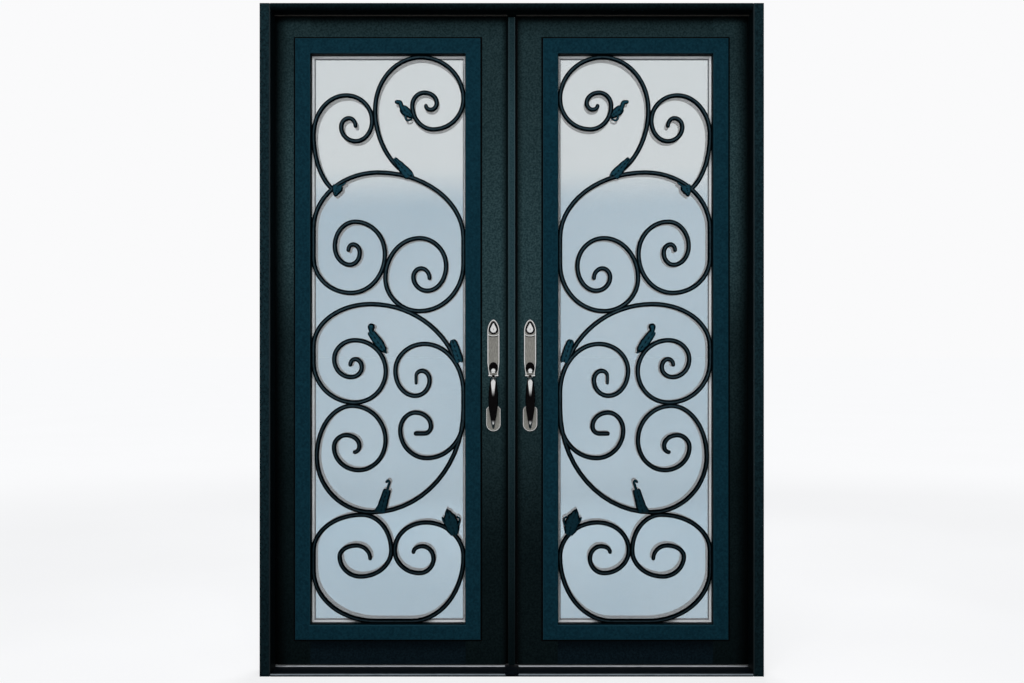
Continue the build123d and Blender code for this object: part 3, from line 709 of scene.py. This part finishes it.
def add_bar(shape, path, radii, sides, closed=False):
    """A round bar along a path that lies flat on the door, with round ends where it is open."""
    along = tangents(path, closed)
    asides = [direction.cross(DEPTH_AXIS).normalized() for direction in along]
    rings = [ring_round(p, a, DEPTH_AXIS, r, sides) for p, a, r in zip(path, asides, radii)]
    if not closed:
        first = bar_cap(path[0], -along[0], asides[0], radii[0], sides)
        rings = first[::-1] + rings + bar_cap(path[-1], along[-1], asides[-1], radii[-1], sides)
    shape.add_rings(rings, closed)


def bar_cap(end, outward, aside, radius, sides):
    """The shrinking rings of a round end."""
    rings = []
    for k in range(1, CAP_STEPS + 1):
        angle = math.pi / 2 * k / (CAP_STEPS + CAP_OPENING)
        centre = end + outward * radius * math.sin(angle)
        rings.append(ring_round(centre, aside, DEPTH_AXIS, radius * math.cos(angle), sides))
    return rings


# Scrollwork


class LeafFigure:
    """Maps pixels of the left leaf's grille to one of the two leaves."""

    def __init__(self, name, side):
        low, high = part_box(name + "_scrollwork")
        self.name = name
        self.side = side
        self.radius = (high.y - low.y) / 2
        self.y = (high.y + low.y) / 2
        self.outer = (low.x if side < 0 else high.x) - side * self.radius
        self.across = (high.x - low.x - 2 * self.radius) / (SCROLL_RIGHT - SCROLL_LEFT)
        self.bottom = low.z + self.radius
        self.up = (high.z - low.z - 2 * self.radius) / (SCROLL_BOTTOM - SCROLL_TOP)

    def place(self, pixel, y=None):
        """The place of a pixel in the middle of the bars, or at another depth."""
        x = self.outer - self.side * (pixel[0] - SCROLL_LEFT) * self.across
        z = self.bottom + (SCROLL_BOTTOM - pixel[1]) * self.up
        return Vector((x, self.y if y is None else y, z))


def quarter_turn(start, end, level, share):
    """Points of a quarter of an oval after its start; level says that it sets off level."""
    centre = Vector((start.x, start.y, end.z)) if level else Vector((end.x, start.y, start.z))
    first, second = start - centre, end - centre
    angles = [math.pi / 2 * share * (k + 1) / TURN_STEPS for k in range(TURN_STEPS)]
    return [centre + first * math.cos(a) + second * math.sin(a) for a in angles]


def scroll_path(figure, name):
    """The centre line of one scroll bar."""
    corners = [figure.place(pixel) for pixel in SCROLLS[name]]
    level = name == LEVEL_START
    path = [corners[0]]
    for k in range(len(corners) - 1):
        start, end = corners[k], corners[k + 1]
        if start.x == end.x or start.z == end.z:
            path.extend(start.lerp(end, (j + 1) / STRAIGHT_STEPS) for j in range(STRAIGHT_STEPS))
            continue
        share = LAST_TURN_SHARES.get(name, 1) if k == len(corners) - 2 else 1
        path.extend(quarter_turn(start, end, level, share))
        level = not level
    return path


def scroll_radii(name, count, radius):
    """The bar's radius along its path: a drawn out curled end and the marks of the hammer."""
    tip = TIP_SHARES.get(name, PLAIN_TIP_SHARE)
    radii = []
    for k in range(count):
        taper = tip + (1 - tip) * min(1, k / TIP_STEPS)
        wave = math.sin(HAMMER_QUICK * k) * math.sin(HAMMER_SLOW * k + len(name))
        hammered = 1 - HAMMER_SHARE * (1 + wave)
        radii.append(radius * BAR_SWELL * taper * hammered)
    return radii


def scroll_bars(figure):
    """The forged grille of one leaf."""
    shape = Shape()
    for name in SCROLLS:
        path = scroll_path(figure, name)
        add_bar(shape, path, scroll_radii(name, len(path), figure.radius), BAR_SIDES)
    body = figure.name + "_leaf"
    bars = shape.piece(figure.name + "_forged_scrolls", "scroll_iron", body, "scroll_iron")
    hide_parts(figure.name + "_scrollwork")


# Cast leaves


def width_at(widths, share):
    """The half width of a leaf at a share of its length."""
    for (a, wa), (b, wb) in zip(widths, widths[1:]):
        if share <= b:
            t = (share - a) / (b - a)
            t = t * t * (3 - 2 * t)
            return wa + (wb - wa) * t
    return widths[-1][1]


def leaf_front(share, across):
    """How far the front of a leaf stands out: crowned, with a middle rib and slanting veins."""
    crown = math.sqrt(max(0.0, 1 - across * across))
    swell = SWELL_LEAST + SWELL_MORE * math.sin(math.pi * (SWELL_START + SWELL_SPAN * share))
    rib = RIB_DEPTH * math.exp(-((across / RIB_WIDTH_SHARE) ** 2))
    vein = VEIN_DEPTH * abs(math.sin(math.pi * (VEINS * share - VEIN_SLANT * abs(across)))) * crown
    return LEAF_EDGE + (LEAF_CREST - LEAF_EDGE) * crown * swell - rib - vein


def add_leaf_body(shape, figure, leaf):
    """The crowned blade of one leaf, from its root to its tip, on the middle of the bars."""
    root, tip = figure.place(leaf["root"]), figure.place(leaf["tip"])
    along = tip - root
    aside = along.normalized().cross(DEPTH_AXIS)
    rings = []
    for k in range(LEAF_LENGTH_STEPS + 1):
        share = k / LEAF_LENGTH_STEPS
        half = width_at(leaf["widths"], share) * figure.across
        front, back = [], []
        for j in range(LEAF_WIDTH_STEPS + 1):
            across = -1 + 2 * j / LEAF_WIDTH_STEPS
            middle = root + along * share + aside * half * across
            depth = LEAF_BACK * math.sqrt(max(0.0, 1 - across * across))
            front.append(middle + Vector((0, -leaf_front(share, across), 0)))
            back.append(middle + Vector((0, depth, 0)))
        rings.append(front + back[::-1])
    shape.add_rings(rings)


def smooth_path(points, steps):
    """A smooth path through points, as Catmull-Rom spans."""
    padded = [points[0] * 2 - points[1]] + points + [points[-1] * 2 - points[-2]]
    path = [points[0]]
    for a, b, c, d in zip(padded, padded[1:], padded[2:], padded[3:]):
        for k in range(1, steps + 1):
            t = k / steps
            path.append(
                0.5 * (2 * b + (c - a) * t + (2 * a - 5 * b + 4 * c - d) * t * t
                       + (3 * b - a - 3 * c + d) * t ** 3)
            )
    return path


def add_curl(shape, figure, pixels, first, last):
    """A thin curl through pixels, on the front of the bars, from one radius to another."""
    y = figure.y - figure.radius * CURL_FORWARD_SHARE
    path = smooth_path([figure.place(pixel, y) for pixel in pixels], CURL_STEPS)
    count = len(path) - 1
    radii = [(first + (last - first) * k / count) * figure.across for k in range(count + 1)]
    add_bar(shape, path, radii, CURL_SIDES)


def cast_leaves(figure):
    """The cast leaves of one grille."""
    shape = Shape()
    for leaf in LEAVES:
        add_leaf_body(shape, figure, leaf)
        add_curl(shape, figure, leaf["lobe"], LOBE_PIXELS, LOBE_PIXELS * LOBE_TIP_SHARE)
        if leaf["tail"]:
            pixels, sizes = leaf["tail"]
            add_curl(shape, figure, pixels, *sizes)
    body = figure.name + "_leaf"
    made = shape.piece(figure.name + "_forged_leaves", "cast_iron", body, "scroll_iron")
    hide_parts(figure.name + "_cast_leaves")


# Glass


def add_box(shape, low, high):
    """A box between two corners."""
    corners = [(low.x, low.y), (high.x, low.y), (high.x, high.y), (low.x, high.y)]
    shape.add_rings([[Vector((x, y, z)) for x, y in corners] for z in (low.z, high.z)])


def add_window_band(shape, low, high, inset, width):
    """A flat band round a light, that far inside its edges."""
    rings = []
    for offset in (inset, inset + width):
        xs, zs = (low.x + offset, high.x - offset), (low.z + offset, high.z - offset)
        corners = [(xs[0], zs[0]), (xs[1], zs[0]), (xs[1], zs[1]), (xs[0], zs[1])]
        rings.append([[Vector((x, y, z)) for x, z in corners] for y in (low.y, high.y)])
    outer, inner = rings
    shape.add_rings([outer[0], outer[1], inner[1], inner[0]], closed=True)


def sealed_glass(name):
    """Two panes, their spacer and its sealant in one leaf."""
    low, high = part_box(name + "_glass")
    body = name + "_leaf"
    step, thin = Vector((0, PANE_THICKNESS, 0)), Vector((0, COATED_THICKNESS, 0))
    front = Shape()
    add_box(front, low, Vector((high.x, low.y, high.z)) + step)
    front.piece(name + "_front_pane", "clear_pane", body, "glass")
    back = Shape()
    add_box(back, Vector((low.x, high.y, low.z)) - thin, high)
    made = back.piece(name + "_back_pane", "coated_pane", body, "glass")
    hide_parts(name + "_glass")
    spacer = Shape()
    add_window_band(spacer, low + step, high - thin, 0, SPACER_WIDTH)
    spacer.piece(name + "_glass_spacer", "spacer", body, "sill_trim")
    sealant = Shape()
    add_window_band(sealant, low + step, high - thin, SPACER_WIDTH, SEALANT_WIDTH)
    sealant.piece(name + "_glass_sealant", "sealant", body, "sill_trim")


def light_trim(name):
    """The light's liner, near black as painted shade of the reveal, and a black line round the moulding,
    its painted shadow.
    """
    low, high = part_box(name + "_glass")
    moulding_low, moulding_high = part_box(name + "_moulding")
    liner = Shape()
    face = Vector((low.x, moulding_high.y, low.z))
    add_window_band(liner, face, Vector((high.x, low.y, high.z)), 0, LINER_THICKNESS)
    liner.piece(name + "_light_liner", "liner_paint", name + "_leaf", "moulding_paint")
    joint = Shape()
    edge_low = Vector((moulding_low.x, moulding_high.y - SHADOW_LINE_PROUD, moulding_low.z))
    add_window_band(joint, edge_low, moulding_high, -SHADOW_LINE_WIDTH, SHADOW_LINE_WIDTH)
    joint.piece(name + "_moulding_joint", "rubber", name + "_leaf", "sill_bronze")


# Handle trim


def plate_outline(x, top, inset):
    """The upper plate's outline, that far inside its edge, from the foot round the arch."""
    half, waist = PLATE_HALF - inset, PLATE_WAIST_HALF - inset
    shoulder = top - PLATE_ARCH
    bottom = PLATE_BOTTOM + inset
    peak = (0, top - inset)
    swell = (half * ARCH_BULGE_SHARE, shoulder + (peak[1] - shoulder) * ARCH_BULGE_SHARE)
    bend = [2 * s - (a + b) / 2 for s, a, b in zip(swell, (half, shoulder), peak)]
    right = [(waist, bottom), (half, bottom + PLATE_TAPER), (half, shoulder)]
    for k in range(1, ARCH_STEPS + 1):
        t = k / ARCH_STEPS
        weights = ((1 - t) ** 2, 2 * t * (1 - t), t * t)
        corners = zip((half, shoulder), bend, peak)
        right.append(tuple(sum(w * c for w, c in zip(weights, corner)) for corner in corners))
    left = [(-across, z) for across, z in right[-2::-1]]
    return [(x + across, z) for across, z in right + left]


def foot_outline(x, half, bottom, top):
    """The foot plate's outline: sloped corners above, round below."""
    points = [(x + half, top - FOOT_SLOPE), (x + half - FOOT_SLOPE, top)]
    points += [(x - half + FOOT_SLOPE, top), (x - half, top - FOOT_SLOPE)]
    for k in range(2 * ARCH_STEPS + 1):
        angle = math.pi + math.pi * k / (2 * ARCH_STEPS)
        points.append((x + half * math.cos(angle), bottom + half + half * math.sin(angle)))
    return points


def drop_outline(x, low, high, margin):
    """A drop with its point up, round a lock between two heights, that much larger all round."""
    centres = (low + DROP_RADIUS, high - DROP_TIP_RADIUS)
    lean = math.asin((DROP_RADIUS - DROP_TIP_RADIUS) / (centres[1] - centres[0]))
    sweeps = ((math.pi - lean, 2 * math.pi + lean), (lean, math.pi - lean))
    points = []
    for centre, radius, (start, end) in zip(centres, (DROP_RADIUS, DROP_TIP_RADIUS), sweeps):
        reach = radius + margin
        for k in range(TURN_POINTS + 1):
            angle = start + (end - start) * k / TURN_POINTS
            points.append((x + reach * math.cos(angle), centre + reach * math.sin(angle)))
    return points


def add_bead(shape, outline, y, radius):
    """A round bead along a closed outline on the face at y."""
    path = [Vector((x, y, z)) for x, z in outline]
    add_bar(shape, path, [radius] * len(path), BEAD_SIDES, closed=True)


def add_dish(shape, centre, half, half_height):
    """A shallow oval dish with a round lip on a plate."""
    rings = []
    for size, proud in DISH_PROFILE:
        ring = []
        for k in range(TURN_POINTS):
            angle = 2 * math.pi * k / TURN_POINTS
            x, z = half * size * math.cos(angle), half_height * size * math.sin(angle)
            ring.append(centre + Vector((x, -DISH_PROUD * proud, z)))
        rings.append(ring)
    shape.add_rings(rings)


def thumb_pad(name):
    """The round bright pad on one thumb latch."""
    low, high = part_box(name + "_thumb_latch")
    centre = Vector(((low.x + high.x) / 2, low.y + PAD_BACK, low.z + PAD_RISE))
    rings = []
    for step in range(1, PAD_STEPS):
        rise = math.pi * (step / PAD_STEPS - 0.5)
        ring = []
        for k in range(TURN_POINTS):
            angle = 2 * math.pi * k / TURN_POINTS
            along = (math.cos(rise) * math.cos(angle), math.cos(rise) * math.sin(angle), math.sin(rise))
            ring.append(centre + Vector([r * a for r, a in zip(PAD_RADII, along)]))
        rings.append(ring)
    pad = Shape()
    pad.add_rings(rings)
    pad.piece(name + "_thumb_pad", "polished", name + "_thumb", "satin_nickel")


def add_arch(shape, x, half, y, middle, rise, radius):
    """A round bar that hangs in a curve from side to side of a plate."""
    path = []
    for k in range(2 * ARCH_STEPS + 1):
        t = -1 + k / ARCH_STEPS
        path.append(Vector((x + t * half, y, middle + rise * t * t)))
    add_bar(shape, path, [radius] * len(path), BEAD_SIDES)


class HandleFigure:
    """Where the plates and the lock of one entry handle lie."""

    def __init__(self, name):
        self.name = name
        self.low, self.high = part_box(name + "_handle_plates")
        self.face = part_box(name + "_moulding")[1].y - PLATE_THICKNESS
        self.x = (self.low.x + self.high.x) / 2
        self.lock_low, self.lock_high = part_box(name + "_deadbolt")
        self.ledge_z = self.lock_low.z - LEDGE_DROP


def handle_rims(handle):
    """The bright rims, ledge and collar of one entry handle."""
    x, face, low, high = handle.x, handle.face, handle.low, handle.high
    shape = Shape()
    add_bead(shape, plate_outline(x, high.z, RIM_RADIUS), face, RIM_RADIUS)
    foot_half = (high.x - low.x) / 2 - FOOT_RIM_RADIUS
    foot = foot_outline(x, foot_half, low.z + FOOT_RIM_RADIUS, low.z + FOOT_HEIGHT - FOOT_RIM_RADIUS)
    add_bead(shape, foot, face, FOOT_RIM_RADIUS)
    add_arch(shape, x, PLATE_HALF - RIM_RADIUS, face, handle.ledge_z, LEDGE_RISE, LEDGE_RADIUS)
    collar_y, collar_z = face - COLLAR_RADIUS * COLLAR_PROUD_SHARE, PLATE_BOTTOM + COLLAR_LIFT
    collar = [Vector((x + hand * COLLAR_HALF, collar_y, collar_z)) for hand in (-1, 1)]
    add_bar(shape, collar, [COLLAR_RADIUS] * 2, COLLAR_SIDES)
    shape.piece(handle.name + "_handle_rims", "polished", handle.name + "_leaf", "satin_nickel")


def handle_painted_shadows(handle):
    """Painted shadow in black: the lock's recess and keyway, the groove under the ledge, and the thumb's
    dish, partly a rosette.
    """
    x, face, lock_low = handle.x, handle.face, handle.lock_low
    shape = Shape()
    floor_y = face + RECESS_DEPTH
    rings = []
    for margin in (0, RECESS_WIDTH):
        outline = drop_outline(x, lock_low.z, handle.lock_high.z, margin)
        for y in (floor_y - SHADOW_SHEET_THICKNESS, floor_y):
            rings.append([Vector((px, y, pz)) for px, pz in outline])
    shape.add_rings([rings[2], rings[3], rings[1], rings[0]], closed=True)
    keyway = Vector((x, lock_low.y, lock_low.z + DROP_RADIUS))
    keyway_low = keyway + Vector((-KEYWAY_HALF, SHADOW_SHEET_THICKNESS, -KEYWAY_HALF_LENGTH))
    add_box(shape, keyway_low, keyway + Vector((KEYWAY_HALF, RECESS_DEPTH, KEYWAY_HALF_LENGTH)))
    groove_y, groove_z = face + GROOVE_RADIUS * GROOVE_SUNK_SHARE, handle.ledge_z - LEDGE_GROOVE
    add_arch(shape, x, PLATE_HALF - 2 * RIM_RADIUS, groove_y, groove_z, LEDGE_RISE, GROOVE_RADIUS)
    thumb_z = joint_height(handle.name + "_thumb_press")
    add_dish(shape, Vector((x, face, thumb_z + DISH_LIFT)), DISH_HALF, DISH_HALF_HEIGHT)
    shape.piece(handle.name + "_handle_enamel", "black_metal", handle.name + "_leaf", "dark_grip")


def joint_height(name):
    """The height of a joint's axis."""
    for joint in frame["joints"]:
        if joint["name"] == name:
            return joint["pos_m"][2]
    raise ValueError("no joint named " + name)


# Seals and sill


def meeting_seal():
    """The rubber fin beside the cover strip, which closes the meeting gap."""
    low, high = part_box("astragal")
    shape = Shape()
    add_box(shape, Vector((high.x, SEAL_FRONT, low.z)), Vector((SEAL_TIP_X, SEAL_BACK, high.z)))
    shape.piece("meeting_seal", "rubber", "left_leaf", "sill_bronze")


def head_seal():
    """The weather strip under the head, in two lengths that stop short of the cover strip."""
    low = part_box("head")[0]
    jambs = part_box("left_jamb")[1].x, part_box("right_jamb")[0].x
    shape = Shape()
    for start, end in ((jambs[0], -HEAD_SEAL_GAP), (HEAD_SEAL_GAP, jambs[1])):
        corner = Vector((start, HEAD_SEAL_FRONT, low.z - HEAD_SEAL_DROP))
        add_box(shape, corner, Vector((end, HEAD_SEAL_BACK, low.z)))
    shape.piece("head_seal", "head_seal", "frame", "sill_bronze")


def sill_keeper():
    """The bolt keeper across the middle of the sill."""
    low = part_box("threshold")[0]
    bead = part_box("threshold_bead")[1]
    shape = Shape()
    add_box(shape, Vector((-KEEPER_HALF, low.y, low.z)), Vector((KEEPER_HALF, bead.y, KEEPER_HEIGHT)))
    shape.piece("sill_keeper", "sill_bronze", "frame", "sill_bronze", KEEPER_BEVEL)


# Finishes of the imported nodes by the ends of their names: the material and the bevel
FINISHES = (
    ("jamb", "frame_paint", 0.0012),
    ("head", "head_paint", 0.0012),
    ("hinge_stile", "hinge_paint", 0.0),
    ("meeting_stile", "leaf_paint", 0.0),
    ("top_rail", "leaf_paint", 0.0),
    ("bottom_rail", "foot_paint", 0.0),
    ("moulding", "moulding_paint", 0.0008),
    ("glazing_frame", "moulding_paint", 0.0008),
    ("astragal", "cover_paint", 0.0008),
    ("hinges", "frame_paint", 0.0006),
    ("plates", "plate_nickel", 0.0),
    ("deadbolt", "polished", 0.0),
    ("thumb_latch", "thumb_metal", 0.0008),
    ("lever_set", "satin_nickel", 0.0012),
    ("grip", "grip_metal", 0.0),
    ("nosing", "sill_nosing", 0.0),
    ("bead", "sill_trim", 0.0),
    ("threshold", "sill_bronze", 0.0008),
    ("scrollwork", "scroll_iron", 0.0),
    ("cast_leaves", "cast_iron", 0.0),
    ("glass", "clear_pane", 0.0),
)


def finish_nodes():
    """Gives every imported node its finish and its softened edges."""
    for name, node in nodes.items():
        for ending, material, bevel in FINISHES:
            if name.endswith(ending):
                node.data.materials.clear()
                node.data.materials.append(MATERIALS[material])
                soften(node, bevel)
                break
        else:
            raise ValueError("no finish for " + name)


# Studio


def seen_directly(tree):
    """A socket that is 1 for what the camera sees, straight, in a reflection or through glass."""
    path = tree.nodes.new("ShaderNodeLightPath")
    outlet = path.outputs["Is Camera Ray"]
    for ray in ("Is Glossy Ray", "Is Transmission Ray"):
        either = tree.nodes.new("ShaderNodeMath")
        either.operation = "MAXIMUM"
        tree.links.new(outlet, either.inputs[0])
        tree.links.new(path.outputs[ray], either.inputs[1])
        outlet = either.outputs[0]
    return outlet


def floor_material():
    """A matt floor that looks pale where it is seen, keeps the shadow and throws back little light."""
    material, shader = new_material("studio_floor", FLOOR_ROUGHNESS, specular=0.0)
    tree = material.node_tree
    texture = noise(material, FLOOR_CELLS, FLOOR_DETAIL)
    colour = two_tone(material, texture, FLOOR_DARK, FLOOR_LIGHT)
    tree.links.new(colour, shader.inputs["Base Color"])
    glow = tree.nodes.new("ShaderNodeEmission")
    glow.inputs["Color"].default_value = linear(GLOW_COLOUR)
    place = tree.nodes.new("ShaderNodeTexCoord")
    reach = tree.nodes.new("ShaderNodeVectorMath")
    reach.operation = "LENGTH"
    tree.links.new(place.outputs["Object"], reach.inputs[0])
    strength = fade(material, reach.outputs["Value"], NEAR_REACH, FAR_REACH, NEAR_GLOW)
    tree.links.new(strength, glow.inputs["Strength"])
    both = tree.nodes.new("ShaderNodeAddShader")
    tree.links.new(shader.outputs[0], both.inputs[0])
    tree.links.new(glow.outputs[0], both.inputs[1])
    mix = tree.nodes.new("ShaderNodeMixShader")
    tree.links.new(seen_directly(tree), mix.inputs["Fac"])
    tree.links.new(shader.outputs[0], mix.inputs[1])
    tree.links.new(both.outputs[0], mix.inputs[2])
    tree.links.new(mix.outputs[0], tree.nodes["Material Output"].inputs["Surface"])
    return material


def floor():
    """A wide pale floor under the door."""
    bpy.ops.mesh.primitive_plane_add(size=FLOOR_SIZE)
    plane = bpy.context.object
    plane.name = "studio_floor"
    plane.data.materials.append(floor_material())


def backdrop():
    """A pale world, lighter to the camera and to gloss than as a lamp."""
    world = bpy.data.worlds.new("studio")
    bpy.context.scene.world = world
    world.use_nodes = True
    tree = world.node_tree
    shown = tree.nodes["Background"]
    shown.inputs["Color"].default_value = linear(BACKDROP_COLOUR)
    shown.inputs["Strength"].default_value = 1.0
    lamp = tree.nodes.new("ShaderNodeBackground")
    lamp.inputs["Color"].default_value = linear(SKY_COLOUR)
    lamp.inputs["Strength"].default_value = SKY_LIGHT
    mix = tree.nodes.new("ShaderNodeMixShader")
    tree.links.new(seen_directly(tree), mix.inputs["Fac"])
    tree.links.new(lamp.outputs[0], mix.inputs[1])
    tree.links.new(shown.outputs[0], mix.inputs[2])
    tree.links.new(mix.outputs[0], tree.nodes["World Output"].inputs["Surface"])


def lamp(name, place, aim, size, power):
    """A soft square lamp, which gloss and glass do not mirror."""
    data = bpy.data.lights.new(name, "AREA")
    data.size = size
    data.energy = power
    made = bpy.data.objects.new(name, data)
    made.location = place
    made.rotation_euler = (Vector(aim) - Vector(place)).to_track_quat("-Z", "Y").to_euler()
    made.visible_glossy = False
    bpy.context.scene.collection.objects.link(made)


def camera():
    """The photograph's view: level, square on, with the horizon a little under the middle."""
    data = bpy.data.cameras.new("camera")
    data.sensor_width = SENSOR_WIDTH
    data.lens = SENSOR_WIDTH * FOCAL_PIXELS / IMAGE_WIDTH
    data.shift_x = (IMAGE_WIDTH / 2 - CENTRE_PIXEL) / IMAGE_WIDTH
    data.shift_y = (HORIZON_PIXEL - IMAGE_HEIGHT / 2) / IMAGE_WIDTH
    made = bpy.data.objects.new("camera", data)
    made.location = (0, CAMERA_Y, CAMERA_Z)
    made.rotation_euler = (math.pi / 2, 0, 0)
    bpy.context.scene.collection.objects.link(made)
    bpy.context.scene.camera = made


bpy.context.scene.view_settings.view_transform = "Standard"
finish_nodes()
for leaf_name, leaf_side in (("left", -1), ("right", 1)):
    leaf_figure = LeafFigure(leaf_name, leaf_side)
    scroll_bars(leaf_figure)
    cast_leaves(leaf_figure)
    sealed_glass(leaf_name)
    light_trim(leaf_name)
    leaf_handle = HandleFigure(leaf_name)
    handle_rims(leaf_handle)
    handle_painted_shadows(leaf_handle)
    thumb_pad(leaf_name)
meeting_seal()
head_seal()
sill_keeper()
floor()
backdrop()
for lamp_row in LAMPS:
    lamp(*lamp_row)
camera()
